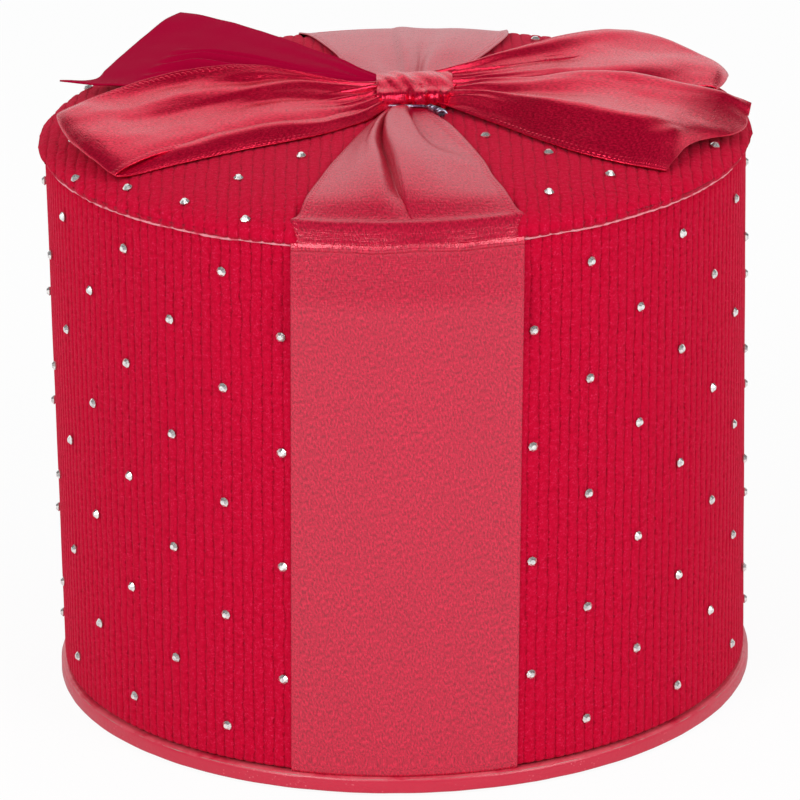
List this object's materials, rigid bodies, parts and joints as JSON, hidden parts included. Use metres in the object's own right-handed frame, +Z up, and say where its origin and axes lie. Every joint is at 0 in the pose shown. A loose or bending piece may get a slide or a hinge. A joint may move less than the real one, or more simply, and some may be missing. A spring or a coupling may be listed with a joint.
{
  "type": "gift box",
  "caption": "Round red corduroy keepsake box: full-depth lift-off lid with a padded top, satin ribbon and bow, stone lattice, over an inner tube on a flanged base",
  "frame": {"origin": "centre of the underside, where the base rests on a table", "axes": "+Z up along the box's axis; -Y is the front, which the bow faces; +X is to the right seen from the front"},
  "size_m": [0.122, 0.1226, 0.1098],
  "materials": {
    "corduroy": "matte",
    "satin_ribbon": "satin",
    "padding": "matte",
    "greyboard": "matte",
    "red_gloss_paper": "gloss",
    "red_paper": "matte",
    "base_paper": "matte",
    "lining_paper": "matte",
    "wire": "polished",
    "clear_stone": "polished"
  },
  "bodies": {
    "base": {"base_board": "greyboard", "base_wrap": "red_gloss_paper", "bottom_cover": "base_paper", "inner_tube": "greyboard", "inner_tube_wrap": "red_paper", "inner_lining": "lining_paper", "floor_lining": "lining_paper"},
    "lid": {"lid_tube": "greyboard", "lid_top_board": "greyboard", "lid_top_foam": "padding", "lid_top_cover": "corduroy", "lid_wall_cover": "corduroy", "lid_inner_lining": "lining_paper", "lid_ceiling_lining": "lining_paper", "cross_ribbon": "satin_ribbon", "bow_loops": "satin_ribbon", "bow_tails": "satin_ribbon", "bow_knot": "satin_ribbon", "tie_wire": "wire", "wall_stones": "clear_stone", "top_stones": "clear_stone"}
  },
  "joints": [
    {"name": "lid_lift", "type": "slide", "parent": "base", "child": "lid", "axis": [0, 0, 1], "range_m": [0, 0.12]}
  ]
}
